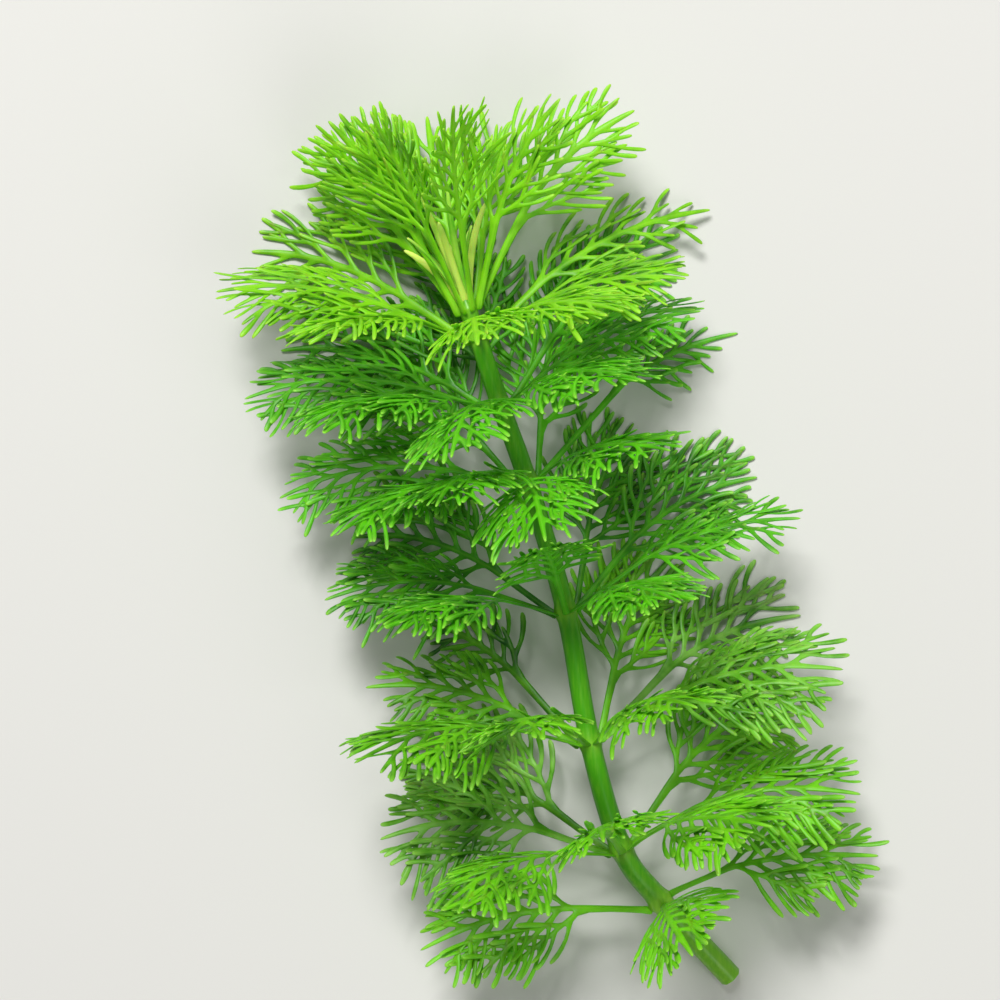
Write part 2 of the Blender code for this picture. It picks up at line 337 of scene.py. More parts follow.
class CrownLeafSettings(PropertyGroup):
    """The long, open leaves of the two top whorls."""

    pinnae: IntProperty(name="Pinnae", description="Side branches, left and right in turn", default=11)
    petiole: share_setting("Petiole", "Bare share of the leaf below its first pinna", 0.27)
    last_pinna: share_setting("Last pinna", "Share of the leaf at which its last pinna grows", 0.84)
    pinna_length: share_setting("Pinna length", "Longest pinna, as a share of the leaf", 0.41)
    pinna_taper: share_setting("Pinna taper", "How much shorter the last is, as a share of the leaf", 0.21)
    pinna_angle: angle_setting("Pinna angle", "Angle between a pinna and the rachis", 33)
    segment_width: length_setting("Segment width", "Width of a leaf segment", 0.78)
    segment_length: length_setting("Segment length", "Length of the longest segments", 7.2)
    segment_spacing: length_setting("Segment spacing", "Distance between segments on a pinna", 1.7)
    segment_angle: angle_setting("Segment angle", "Angle between a segment and its pinna", 32)
    end_angle: angle_setting("End angle", "Angle to the rachis that pinnae and segments bend round to", 17)
    rachis_width: length_setting("Rachis width", "Width of the rachis at its base", 1.1)
    rachis_taper: share_setting("Rachis taper", "How much narrower the rachis is at its tip", 0.35)
    thickness: length_setting("Thickness", "Thickness of the rachis at its base", 0.42)
    base_paleness: share_setting("Base paleness", "How pale the foot of the rachis is", 0.5)
    deep: colour_setting("Deep green", "Colour of the darkest tissue", "#2a8004")
    bright: colour_setting("Bright green", "Colour of the freshest tissue", "#86d40e")
    tip: colour_setting("Tips", "Colour of the segments' ends", "#b6ec44")
    faded: colour_setting("Faded", "Colour of faded tissue", "#dfe39a")


class MiddleLeafSettings(PropertyGroup):
    """The dense, finely divided leaves of the middle whorls."""

    pinnae: IntProperty(name="Pinnae", description="Side branches, left and right in turn", default=12)
    petiole: share_setting("Petiole", "Bare share of the leaf below its first pinna", 0.2)
    last_pinna: share_setting("Last pinna", "Share of the leaf at which its last pinna grows", 0.82)
    pinna_length: share_setting("Pinna length", "Longest pinna, as a share of the leaf", 0.4)
    pinna_taper: share_setting("Pinna taper", "How much shorter the last is, as a share of the leaf", 0.18)
    pinna_angle: angle_setting("Pinna angle", "Angle between a pinna and the rachis", 40)
    segment_width: length_setting("Segment width", "Width of a leaf segment", 0.84)
    segment_length: length_setting("Segment length", "Length of the longest segments", 6.4)
    segment_spacing: length_setting("Segment spacing", "Distance between segments on a pinna", 1.42)
    segment_angle: angle_setting("Segment angle", "Angle between a segment and its pinna", 44)
    end_angle: angle_setting("End angle", "Angle to the rachis that pinnae and segments bend round to", 21)
    rachis_width: length_setting("Rachis width", "Width of the rachis at its base", 0.95)
    rachis_taper: share_setting("Rachis taper", "How much narrower the rachis is at its tip", 0.35)
    thickness: length_setting("Thickness", "Thickness of the rachis at its base", 0.42)
    base_paleness: share_setting("Base paleness", "How pale the foot of the rachis is", 0.35)
    deep: colour_setting("Deep green", "Colour of the darkest tissue", "#085402")
    bright: colour_setting("Bright green", "Colour of the freshest tissue", "#5cc00c")
    tip: colour_setting("Tips", "Colour of the segments' ends", "#a4e84e")
    faded: colour_setting("Faded", "Colour of faded tissue", "#c9d69a")


class OldLeafSettings(PropertyGroup):
    """The coarse, duller leaves of the lower whorls."""

    pinnae: IntProperty(name="Pinnae", description="Side branches, left and right in turn", default=12)
    petiole: share_setting("Petiole", "Bare share of the leaf below its first pinna", 0.3)
    last_pinna: share_setting("Last pinna", "Share of the leaf at which its last pinna grows", 0.78)
    pinna_length: share_setting("Pinna length", "Longest pinna, as a share of the leaf", 0.39)
    pinna_taper: share_setting("Pinna taper", "How much shorter the last is, as a share of the leaf", 0.14)
    pinna_angle: angle_setting("Pinna angle", "Angle between a pinna and the rachis", 42)
    segment_width: length_setting("Segment width", "Width of a leaf segment", 0.9)
    segment_length: length_setting("Segment length", "Length of the longest segments", 6.8)
    segment_spacing: length_setting("Segment spacing", "Distance between segments on a pinna", 1.5)
    segment_angle: angle_setting("Segment angle", "Angle between a segment and its pinna", 44)
    end_angle: angle_setting("End angle", "Angle to the rachis that pinnae and segments bend round to", 23)
    rachis_width: length_setting("Rachis width", "Width of the rachis at its base", 1.1)
    rachis_taper: share_setting("Rachis taper", "How much narrower the rachis is at its tip", 0.35)
    thickness: length_setting("Thickness", "Thickness of the rachis at its base", 0.46)
    base_paleness: share_setting("Base paleness", "How pale the foot of the rachis is", 0.4)
    deep: colour_setting("Deep green", "Colour of the darkest tissue", "#145a03")
    bright: colour_setting("Bright green", "Colour of the freshest tissue", "#74cc10")
    tip: colour_setting("Tips", "Colour of the segments' ends", "#9cd848")
    faded: colour_setting("Faded", "Colour of faded tissue", "#a6c878")


class YoungLeafSettings(PropertyGroup):
    """The small leaves that are still folded round the growing tip."""

    width: length_setting("Width", "Width of a folded leaf near its foot", 1.05)
    thickness: length_setting("Thickness", "Thickness of a folded leaf", 0.5)
    deep: colour_setting("Deep green", "Colour of the darkest tissue", "#78cc24")
    bright: colour_setting("Bright green", "Colour of the freshest tissue", "#e6ff72")
    tip: colour_setting("Tips", "Colour of the leaves' ends", "#e0ff76")
    faded: colour_setting("Faded", "Colour of faded tissue", "#f3f7b4")


class StemSettings(PropertyGroup):
    """The stem and its cut end."""

    ridge: share_setting("Ridges", "Height of the faint ridges, as a share of the stem's radius", 0.035)
    rind: length_setting("Rind", "Thickness of the green rind at the cut", 0.28)
    air_channel_depth: length_setting("Air channels", "Depth of the air channels in the cut", 0.5)
    deep: colour_setting("Green", "Colour of the stem between its nodes", "#48a206")
    bright: colour_setting("Node green", "Colour of the nodes and of the stem's lowest part", "#8ac832")
    pith: colour_setting("Pith", "Colour of the tissue in the cut", "#dfe8b4")


class StageSettings(PropertyGroup):
    """The floor and the studio light."""

    floor_size: length_setting("Floor size", "Width of the floor", 3000.0)
    floor_colour: colour_setting("Floor colour", "Colour of the floor", "#dddcd7")
    key_power: FloatProperty(name="Key light", description="Power of the key", default=14.5, unit="POWER")
    fill_power: FloatProperty(name="Fill light", description="Power of the fill", default=1.8, unit="POWER")
    sky: FloatProperty(name="Sky", description="Brightness of the even light all round", default=0.18)


class LimnophilaSettings(PropertyGroup):
    """All settings of the plant and its stage."""

    crown: PointerProperty(type=CrownLeafSettings)
    middle: PointerProperty(type=MiddleLeafSettings)
    old: PointerProperty(type=OldLeafSettings)
    young: PointerProperty(type=YoungLeafSettings)
    stem: PointerProperty(type=StemSettings)
    stage: PointerProperty(type=StageSettings)


def placed(point):
    """A point given in millimetres, in metres from the middle of the footprint."""
    return (Vector(point) - Vector((*FOOTPRINT_MIDDLE, 0.0))) * MM


def add_node(tree, kind, inputs=None, **settings):
    """Adds a shader node with its settings. An input is given as a value, or as a socket to link it to."""
    node = tree.nodes.new(kind)
    for name, value in settings.items():
        setattr(node, name, value)
    for name, value in (inputs or {}).items():
        if isinstance(value, NodeSocket):
            tree.links.new(value, node.inputs[name])
        else:
            node.inputs[name].default_value = value
    return node


def new_material(name):
    """An empty node material, its tree and its Principled shader."""
    material = bpy.data.materials.new(name)
    material.use_nodes = True
    tree = material.node_tree
    return material, tree, tree.nodes["Principled BSDF"]


def leaf_material(name, form):
    """Living leaf tissue: thin, soft and a little translucent, so that light from behind makes it glow.

    Its green runs from deep to bright by leaf and in patches a few millimetres wide. Leaves at the back are
    darkened by painted shade, and leaves reaching to the front are brightened by painted light. The ends of
    the segments are paler, partly from their own paler tissue and partly as a painted highlight. A paler vein
    runs along each strip, and the cells give a fine grain.
    """
    material, tree, shader = new_material(name)
    place = add_node(tree, "ShaderNodeTexCoord").outputs["Object"]
    tone = add_node(tree, "ShaderNodeAttribute", attribute_name="tone").outputs["Fac"]
    tip = add_node(tree, "ShaderNodeAttribute", attribute_name="tip").outputs["Fac"]
    across = add_node(tree, "ShaderNodeAttribute", attribute_name="across").outputs["Fac"]
    faded = add_node(tree, "ShaderNodeAttribute", attribute_name="faded").outputs["Fac"]
    patches = add_node(
        tree, "ShaderNodeTexNoise", {"Vector": place, "Scale": 1 / (PATCH_SIZE * MM), "Detail": 3.0}
    ).outputs["Fac"]
    cells = add_node(
        tree, "ShaderNodeTexNoise", {"Vector": place, "Scale": 1 / (LEAF_CELL_SIZE * MM), "Detail": 0.0}
    ).outputs["Fac"]
    patch_shift = add_node(
        tree, "ShaderNodeMapRange",
        {
            "Value": patches, "From Min": NOISE_LOW, "From Max": NOISE_HIGH,
            "To Min": -PATCH_STRENGTH, "To Max": PATCH_STRENGTH,
        },
    ).outputs["Result"]
    freshness = add_node(
        tree, "ShaderNodeMath", {0: tone, 1: patch_shift}, operation="ADD", use_clamp=True
    ).outputs["Value"]
    green = add_node(
        tree, "ShaderNodeMix",
        {MIX_FACTOR: freshness, MIX_A: (*form.deep, 1.0), MIX_B: (*form.bright, 1.0)}, data_type="RGBA",
    ).outputs[MIX_RESULT]
    off_vein = add_node(tree, "ShaderNodeMath", {0: across}, operation="ABSOLUTE").outputs["Value"]
    vein = add_node(
        tree, "ShaderNodeMapRange",
        {
            "Value": off_vein, "From Min": VEIN_EDGE[0], "From Max": VEIN_EDGE[1],
            "To Min": VEIN_PALENESS, "To Max": 0.0,
        },
    ).outputs["Result"]
    veined = add_node(
        tree, "ShaderNodeMix",
        {MIX_FACTOR: vein, MIX_A: green, MIX_B: (*form.tip, 1.0)}, data_type="RGBA",
    ).outputs[MIX_RESULT]
    # The strips' ends turn paler: partly their own paler tissue, partly a painted highlight.
    paleness = add_node(
        tree, "ShaderNodeMapRange",
        {
            "Value": tip, "From Min": END_PALENESS_START, "From Max": 1.0,
            "To Min": 0.0, "To Max": END_PALENESS_AND_HIGHLIGHT,
        },
    ).outputs["Result"]
    pale_and_highlit_ends = add_node(
        tree, "ShaderNodeMix",
        {MIX_FACTOR: paleness, MIX_A: veined, MIX_B: (*form.tip, 1.0)}, data_type="RGBA",
    ).outputs[MIX_RESULT]
    fade_patches = add_node(
        tree, "ShaderNodeMapRange", {"Value": patches, "From Min": FADE_EDGE[0], "From Max": FADE_EDGE[1]}
    ).outputs["Result"]
    fading = add_node(
        tree, "ShaderNodeMath", {0: faded, 1: fade_patches}, operation="MULTIPLY", use_clamp=True
    ).outputs["Value"]
    colour = add_node(
        tree, "ShaderNodeMix",
        {MIX_FACTOR: fading, MIX_A: pale_and_highlit_ends, MIX_B: (*form.faded, 1.0)}, data_type="RGBA",
    ).outputs[MIX_RESULT]
    gloss = add_node(
        tree, "ShaderNodeMapRange",
        {"Value": patches, "To Min": LEAF_ROUGHNESS[0], "To Max": LEAF_ROUGHNESS[1]},
    ).outputs["Result"]
    grain = add_node(
        tree, "ShaderNodeBump", {"Height": cells, "Strength": LEAF_GRAIN, "Distance": LEAF_RELIEF * MM}
    ).outputs["Normal"]
    tree.links.new(colour, shader.inputs["Base Color"])
    tree.links.new(gloss, shader.inputs["Roughness"])
    tree.links.new(grain, shader.inputs["Normal"])
    shader.inputs["IOR"].default_value = LEAF_IOR
    shader.inputs["Subsurface Weight"].default_value = LEAF_TRANSLUCENCE
    shader.inputs["Subsurface Radius"].default_value = SUBSURFACE_RADIUS
    shader.inputs["Subsurface Scale"].default_value = LEAF_LIGHT_DEPTH * MM
    return material


def stem_material(form):
    """Smooth stem skin with a soft gloss: green with faint streaks along it, paler at nodes and base."""
    material, tree, shader = new_material("stem_skin")
    place = add_node(tree, "ShaderNodeTexCoord").outputs["Object"]
    pale = add_node(tree, "ShaderNodeAttribute", attribute_name="pale").outputs["Fac"]
    stretched = add_node(
        tree, "ShaderNodeMapping", {"Vector": place, "Scale": (1.0, STREAK_STRETCH, 1.0)}
    ).outputs["Vector"]
    streaks = add_node(
        tree, "ShaderNodeTexNoise", {"Vector": stretched, "Scale": 1 / (STREAK_WIDTH * MM), "Detail": 4.0}
    ).outputs["Fac"]
    streak_shift = add_node(
        tree, "ShaderNodeMapRange",
        {
            "Value": streaks, "From Min": NOISE_LOW, "From Max": NOISE_HIGH,
            "To Min": STREAK_SHIFT[0], "To Max": STREAK_SHIFT[1],
        },
    ).outputs["Result"]
    paleness = add_node(
        tree, "ShaderNodeMath", {0: pale, 1: streak_shift}, operation="ADD", use_clamp=True
    ).outputs["Value"]
    colour = add_node(
        tree, "ShaderNodeMix",
        {MIX_FACTOR: paleness, MIX_A: (*form.deep, 1.0), MIX_B: (*form.bright, 1.0)}, data_type="RGBA",
    ).outputs[MIX_RESULT]
    grain = add_node(
        tree, "ShaderNodeBump",
        {"Height": streaks, "Strength": STEM_GRAIN, "Distance": STREAK_RELIEF * MM},
    ).outputs["Normal"]
    tree.links.new(colour, shader.inputs["Base Color"])
    tree.links.new(grain, shader.inputs["Normal"])
    shader.inputs["Roughness"].default_value = STEM_ROUGHNESS
    shader.inputs["IOR"].default_value = STEM_IOR
    shader.inputs["Subsurface Weight"].default_value = STEM_TRANSLUCENCE
    shader.inputs["Subsurface Radius"].default_value = SUBSURFACE_RADIUS
    shader.inputs["Subsurface Scale"].default_value = STEM_LIGHT_DEPTH * MM
    return material


def pith_material(form):
    """Freshly cut stem tissue: moist, pale and full of small round cells."""
    material, tree, shader = new_material("cut_stem_pith")
    place = add_node(tree, "ShaderNodeTexCoord").outputs["Object"]
    cells = add_node(
        tree, "ShaderNodeTexVoronoi", {"Vector": place, "Scale": 1 / (PITH_CELL_SIZE * MM)},
        feature="DISTANCE_TO_EDGE",
    ).outputs["Distance"]
    wall = add_node(
        tree, "ShaderNodeMapRange",
        {"Value": cells, "From Max": PITH_WALL_WIDTH, "To Min": PITH_WALL_DARKNESS, "To Max": 0.0},
    ).outputs["Result"]
    colour = add_node(
        tree, "ShaderNodeMix",
        {MIX_FACTOR: wall, MIX_A: (*form.pith, 1.0), MIX_B: (*form.deep, 1.0)}, data_type="RGBA",
    ).outputs[MIX_RESULT]
    relief = add_node(
        tree, "ShaderNodeBump",
        {"Height": cells, "Strength": PITH_GRAIN, "Distance": PITH_RELIEF * MM},
    ).outputs["Normal"]
    tree.links.new(colour, shader.inputs["Base Color"])
    tree.links.new(relief, shader.inputs["Normal"])
    shader.inputs["Roughness"].default_value = PITH_ROUGHNESS
    shader.inputs["IOR"].default_value = PITH_IOR
    return material


def floor_material(form):
    """Matt painted board."""
    material, tree, shader = new_material("matt_painted_board")
    place = add_node(tree, "ShaderNodeTexCoord").outputs["Object"]
    mottle = add_node(
        tree, "ShaderNodeTexNoise", {"Vector": place, "Scale": 1 / (MOTTLE_SIZE * MM)}
    ).outputs["Fac"]
    rough = add_node(
        tree, "ShaderNodeMapRange",
        {"Value": mottle, "To Min": BOARD_ROUGHNESS[0], "To Max": BOARD_ROUGHNESS[1]},
    ).outputs["Result"]
    shader.inputs["Base Color"].default_value = (*form.floor_colour, 1.0)
    tree.links.new(rough, shader.inputs["Roughness"])
    return material


def stem_knots():
    """The cut end, the nodes from the base up, and the top of the stem."""
    nodes = [Vector(node) for node, _ in reversed(WHORLS)]
    top = nodes[-1] + (nodes[-1] - nodes[-2]).normalized() * TIP_LENGTH
    return [Vector(CUT_END), *nodes, top]


def stem_axes():
    """The stem's direction at each whorl, from the top whorl down."""
    knots = stem_knots()
    return [(knots[i + 1] - knots[i - 1]).normalized() for i in range(len(knots) - 2, 0, -1)]


def stem_radius(share):
    """The stem's radius between nodes, from its cut end at 0 to its tip at 1."""
    if share < STEM_MIDDLE:
        return CUT_END_RADIUS + (STEM_RADIUS - CUT_END_RADIUS) * share / STEM_MIDDLE
    beyond = (share - STEM_MIDDLE) / (1 - STEM_MIDDLE)
    return STEM_RADIUS + (TIP_RADIUS - STEM_RADIUS) * beyond**TIP_TAPER_POWER


def node_radius(whorl):
    """The stem's radius at a whorl's node, counted from the top."""
    return NODE_SWELLING * stem_radius(1 - (whorl + 1) / (len(WHORLS) + 1))


def smooth_route(knots, steps):
    """Points along a smooth curve through the knots, and how many spans along each of them is."""
    ends = [2 * knots[0] - knots[1], *knots, 2 * knots[-1] - knots[-2]]
    route = []
    for i in range(1, len(ends) - 2):
        before, start, end, after = ends[i - 1 : i + 3]
        for step in range(steps):
            t = step / steps
            point = 0.5 * (
                2 * start
                + (end - before) * t
                + (2 * before - 5 * start + 4 * end - after) * t**2
                + (3 * start - before - 3 * end + after) * t**3
            )
            route.append((point, i - 1 + t))
    route.append((knots[-1], len(knots) - 1))
    return route


class Midrib:
    """The curve of a leaf from the stem to its tip, and how its blade is set on that curve."""

    def __init__(self, node, axis, radius, reach, in_crown, lowest=0.0):
        reach = Vector(reach)
        outward = (reach - axis * reach.dot(axis)).normalized()
        start = Vector(node) + outward * (radius + LEAF_GAP)
        end = Vector(node) + reach
        chord = end - start
        handle = chord.length * ARCH_SHARE
        heading = chord.normalized()
        first = (heading + axis * ARCH).normalized()
        last = (heading - axis * ARCH).normalized()
        self.lies = end.z < LYING_TIP_HEIGHT
        if self.lies:
            last = Vector((last.x, last.y, 0.0)).normalized()
        self.knots = (start, start + first * handle, end - last * handle, end)
        self.length = self.measure()
        if in_crown or self.lies:
            face_up = min(1.0, FACE_UP * (1 - outward.z))
        else:
            face_up = SIDE_FACE_UP * (1 - outward.z) ** SIDE_FACE_UP_POWER
        self.up = (axis * (1 - face_up) + Vector((0.0, 0.0, face_up))).normalized()
        self.roll = outward.x * (LYING_ROLL if self.lies else CROWN_ROLL if in_crown else SIDE_ROLL)
        self.droop = 0.0 if self.lies else 1 / DROOP_SPAN
        self.lowest = lowest

    def point(self, t):
        a, b, c, d = self.knots
        s = 1 - t
        return a * s**3 + 3 * b * s**2 * t + 3 * c * s * t**2 + d * t**3

    def tangent(self, t):
        a, b, c, d = self.knots
        s = 1 - t
        return ((b - a) * s**2 + 2 * (c - b) * s * t + (d - c) * t**2).normalized()

    def measure(self, steps=24):
        points = [self.point(i / steps) for i in range(steps + 1)]
        return sum((q - p).length for p, q in zip(points, points[1:]))

    def place(self, flat):
        """Where a point of the flat blade comes to lie."""
        t = flat.y / self.length
        on_curve = min(max(t, 0.0), 1.0)
        tangent = self.tangent(on_curve)
        across = tangent.cross(self.up).normalized()
        across.rotate(Quaternion(tangent, self.roll))
        above = across.cross(tangent)
        along = self.point(on_curve) + tangent * (t - on_curve) * self.length
        point = along + across * flat.x + above * (flat.z - flat.x**2 * self.droop)
        point.z = max(point.z, self.lowest)
        if point.z > FRONT_HEIGHT:
            point.z = FRONT_HEIGHT + (point.z - FRONT_HEIGHT) * FRONT_SQUEEZE
        return point


class Branch:
    """One strip of the flat blade: an arc with a little rise out of the plane. Half widths are across it."""

    def __init__(self, start, angle, length, curl, rise, half_width, thickness, turn=0.0, foot_paleness=0.0):
        self.start = start
        self.angle = angle
        self.length = length
        self.curl = curl
        self.rise = rise
        self.half_width = half_width
        self.thickness = thickness
        self.turn = turn
        self.foot_paleness = foot_paleness

    def point(self, share):
        turn = self.curl * share
        bow = math.sin(turn / 2) / (turn / 2) if turn else 1.0
        chord = self.length * share * bow
        toward = self.angle + turn / 2
        rise = self.rise * self.length * share**2
        return self.start + Vector((math.sin(toward) * chord, math.cos(toward) * chord, rise))

    def across(self, share):
        heading = self.angle + self.curl * share
        turn = self.turn * min(1.0, share * TURN_GROWTH)
        return Vector((math.cos(heading), -math.sin(heading), turn)).normalized()


class Blade:
    """A leaf laid flat, grown as one sheet: x across, y along the rachis and z above it."""

    def __init__(self, form, length, seed, tone, fade=0.0):
        self.form = form
        self.length = length
        self.leaf_tone = tone
        self.strip_tone = tone
        self.fade = fade
        self.random = random.Random(seed)
        self.bow = self.random.uniform(-LEAF_BOW, LEAF_BOW)
        self.bm = bmesh.new()
        self.thickness = self.bm.verts.layers.deform.verify()
        self.tip = self.bm.verts.layers.float.new("tip")
        self.across = self.bm.verts.layers.float.new("across")
        self.tone = self.bm.verts.layers.float.new("tone")
        self.faded = self.bm.verts.layers.float.new("faded")
        self.spread = self.random.uniform(*LEAF_SPREAD)

    def vary(self, value, share):
        return value * (1 + self.random.uniform(-share, share))

    def mark(self, pair, branch, tip):
        """Writes what the finish and the thickness need to know at a pair of vertices."""
        for vert, side in zip(pair, (-1.0, 1.0)):
            vert[self.thickness][0] = branch.thickness
            vert[self.tip] = tip
            vert[self.across] = side
            vert[self.tone] = self.strip_tone
            vert[self.faded] = self.fade

    def extrude(self, pair, branch, share, width, tip):
        """Extrudes the edge between a pair of vertices to the next place on a branch."""
        edge = self.bm.edges.get(pair)
        made = bmesh.ops.extrude_edge_only(self.bm, edges=[edge])["geom"]
        copies = [item for item in made if isinstance(item, bmesh.types.BMVert)]
        copies.sort(key=lambda vert: (vert.co - pair[0].co).length)
        side = branch.across(share) * branch.half_width * width
        centre = branch.point(share)
        copies[0].co = centre - side
        copies[1].co = centre + side
        self.mark(copies, branch, max(tip, branch.foot_paleness * (1 - share / FOOT_SHARE)))
        return tuple(copies)

    def grow(self, pair, branch, stops, roots):
        """Grows a strip past the roots of its side branches to its end, and returns each root's edge."""
        edges = []
        below, done = pair, 0.0
        for start, end, side in roots:
            if start > done + TOUCHING:
                below = self.extrude(pair, branch, start, 1.0, 0.0)
            pair = self.extrude(below, branch, end, 1.0, 0.0)
            index = 1 if side > 0 else 0
            lower, upper = below[index], pair[index]
            edges.append((upper, lower) if side > 0 else (lower, upper))
            below, done = pair, end
        for share, width, tip in stops:
            pair = self.extrude(pair, branch, done + (1 - done) * share, width, tip)
        return edges

    def grow_foot(self, width, foot_paleness=0.0):
        """Starts the rachis within the stem, and returns it with the pair of vertices above its foot."""
        foot = Vector((0.0, -BASE_DEPTH, 0.0))
        total = self.length + BASE_DEPTH
        half = width / MM / 2
        rachis = Branch(foot, 0.0, total, 0.0, 0.0, half, 1.0, foot_paleness=foot_paleness)
        pair = tuple(self.bm.verts.new((side * half * FOOT_WIDTH, foot.y, 0.0)) for side in (-1, 1))
        self.bm.edges.new(pair)
        self.mark(pair, rachis, 0.0)
        for distance, share in BASE_STOPS:
            pair = self.extrude(pair, rachis, distance / total, share, 0.0)
        return rachis, pair

    def grow_strap(self):
        """Grows a leaf that is still folded, with no pinnae."""
        rachis, pair = self.grow_foot(self.form.width)
        self.grow(pair, rachis, STRAP_STOPS, [])

    def grow_frond(self, longer_petiole, width):
        """Grows a leaf with its pinnae and their segments."""
        form = self.form
        petiole = form.petiole + longer_petiole
        rachis, pair = self.grow_foot(form.rachis_width, form.base_paleness)
        step = (form.last_pinna - petiole) / (form.pinnae - 1)
        root = form.segment_width / MM / math.sin(form.pinna_angle) / rachis.length
        root = min(root, step * ROOT_ROOM)
        roots = []
        side = self.random.choice((-1, 1))
        for i in range(form.pinnae):
            start = petiole + step * i + step * self.random.uniform(-ROOT_SCATTER, ROOT_SCATTER)
            roots.append((start, start + root, side))
            side = -side
        narrower = 1 - form.rachis_taper
        stops = [(share, shape * narrower * RACHIS_END_WIDTH, tip) for share, shape, tip in END_STOPS]
        edges = self.grow(pair, rachis, stops, roots)
        for (start, _, side), edge in zip(roots, edges):
            progress = (start - petiole) / (form.last_pinna - petiole)
            self.grow_pinna(edge, side, max(progress, 0.0), self.length * width)

    def grow_pinna(self, edge, side, progress, longest):
        form = self.form
        angle = self.vary(form.pinna_angle * (1 - PINNA_ANGLE_LOSS * progress), PINNA_ANGLE_SPREAD)
        angle = side * angle * self.spread
        share = form.pinna_length - form.pinna_taper * progress**PINNA_TAPER_POWER
        length = self.vary(longest * share, PINNA_LENGTH_SPREAD)
        room = self.length * LONGEST_PINNA_TIP - edge[0].co.y
        length = min(length, room / math.cos(angle * PINNA_MEAN_ANGLE))
        curl = side * self.vary(form.end_angle, PINNA_END_SPREAD) - angle
        rise = -self.random.uniform(*PINNA_DROOP)
        self.strip_tone = self.leaf_tone + self.random.uniform(-PINNA_TONE_SPREAD, PINNA_TONE_SPREAD)
        start = (edge[0].co + edge[1].co) / 2
        half = form.segment_width / MM / 2 * PINNA_WIDTH
        turn = self.random.uniform(-STRIP_TURN, STRIP_TURN) * PINNA_TURN
        pinna = Branch(start, angle, length, curl, rise, half, PINNA_THICKNESS, turn)
        spacing = form.segment_spacing / MM
        bare = BARE_SPACINGS * spacing + form.rachis_width / MM
        root = min(ROOT_SHARE * spacing, form.segment_width / MM / math.sin(form.segment_angle))
        count = max(0, int((length - bare) / spacing) - 1)
        roots = []
        for i in range(count):
            at = bare + spacing * (i + self.random.uniform(-ROOT_SHIFT, ROOT_SHIFT))
            inner = i % INNER_EVERY == INNER_EVERY - 1
            roots.append((at / length, (at + root) / length, -side if inner else side))
        edges = self.grow(edge, pinna, END_STOPS if count else SEGMENT_STOPS, roots)
        for (at, _, branch_side), root_edge in zip(roots, edges):
            reach = min(length * (1 - at) + spacing / 2, form.segment_length / MM)
            self.grow_segment(root_edge, pinna, at, branch_side, side, reach)

    def grow_segment(self, edge, pinna, at, side, outer_side, length):
        form = self.form
        length = self.vary(length, SEGMENT_LENGTH_SPREAD)
        is_outer = side == outer_side
        angle = pinna.angle + pinna.curl * at + side * self.vary(form.segment_angle, SEGMENT_ANGLE_SPREAD)
        fan = self.vary(OUTER_FAN, OUTER_FAN_SPREAD)
        curl = pinna.angle + pinna.curl + outer_side * (fan if is_outer else -fan) - angle
        rise = self.random.uniform(*(OUTER_DROOP if is_outer else INNER_RISE))
        start = (edge[0].co + edge[1].co) / 2
        half = self.vary(form.segment_width / MM / 2, SEGMENT_WIDTH_SPREAD)
        turn = self.random.uniform(-STRIP_TURN, STRIP_TURN)
        segment = Branch(start, angle, length, curl, rise, half, SEGMENT_THICKNESS, turn)
        self.grow(edge, segment, SEGMENT_STOPS, [])


def finish_blade(bm, name, form, material):
    """Makes a piece of placed fronds: gives the sheet its thickness and rounds it."""
    bmesh.ops.recalc_face_normals(bm, faces=bm.faces)
    mesh = bpy.data.meshes.new(name)
    bm.to_mesh(mesh)
    bm.free()
    mesh.materials.append(material)
    mesh.shade_smooth()
    piece = bpy.data.objects.new(name, mesh)
    bpy.context.scene.collection.objects.link(piece)
    group = piece.vertex_groups.new(name="thickness")
    shell = piece.modifiers.new("thickness", "SOLIDIFY")
    shell.thickness = form.thickness
    shell.offset = 0.0
    shell.vertex_group = group.name
    rounding = piece.modifiers.new("rounding", "SUBSURF")
    rounding.levels = 1
    rounding.render_levels = 1
    return piece


def build_leaf(whorl, leaf, form, material):
    """Builds one frond in the place of its solid."""
    node, reaches = WHORLS[whorl]
    name = f"whorl_{whorl + 1}_leaf_{leaf + 1}"
    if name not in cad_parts:
        raise RuntimeError(f"the solids have no leaf named {name}")
    layer = LYING_LAYERS[leaf % len(LYING_LAYERS)]
    midrib = Midrib(node, stem_axes()[whorl], node_radius(whorl), reaches[leaf], whorl == 0, layer)
    seed = whorl * SEED_STEP + leaf
    tone = WHORL_TONES[whorl] + random.Random(seed).uniform(-TONE_SPREAD, TONE_SPREAD)
    # Leaves lying at the back get painted shade: their green is made darker.
    if midrib.lies:
        tone -= PAINTED_BACK_SHADE
    # Leaves that reach far to the front get painted light: their green is made brighter.
    if reaches[leaf][2] > FRONT_REACH:
        tone += PAINTED_FRONT_LIGHT
    blade = Blade(form, midrib.length, seed, tone, FADED_LEAVES.get((whorl, leaf), 0.0))
    longer_petiole = LONGER_PETIOLES.get(whorl, 0.0) + LONG_STALKED_LEAVES.get((whorl, leaf), 0.0)
    blade.grow_frond(longer_petiole, NARROW_LEAVES.get((whorl, leaf), 1.0))
    for vert in blade.bm.verts:
        bow = blade.bow * vert.co.y * vert.co.y / midrib.length
        vert.co = placed(midrib.place(vert.co + Vector((bow, 0.0, 0.0))))
    piece = finish_blade(blade.bm, name + "_frond", form, material)
    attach(piece, BODY)
    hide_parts(name)


def build_whorls(whorls, form, material):
    for whorl in whorls:
        for leaf in range(len(WHORLS[whorl][1])):
            build_leaf(whorl, leaf, form, material)


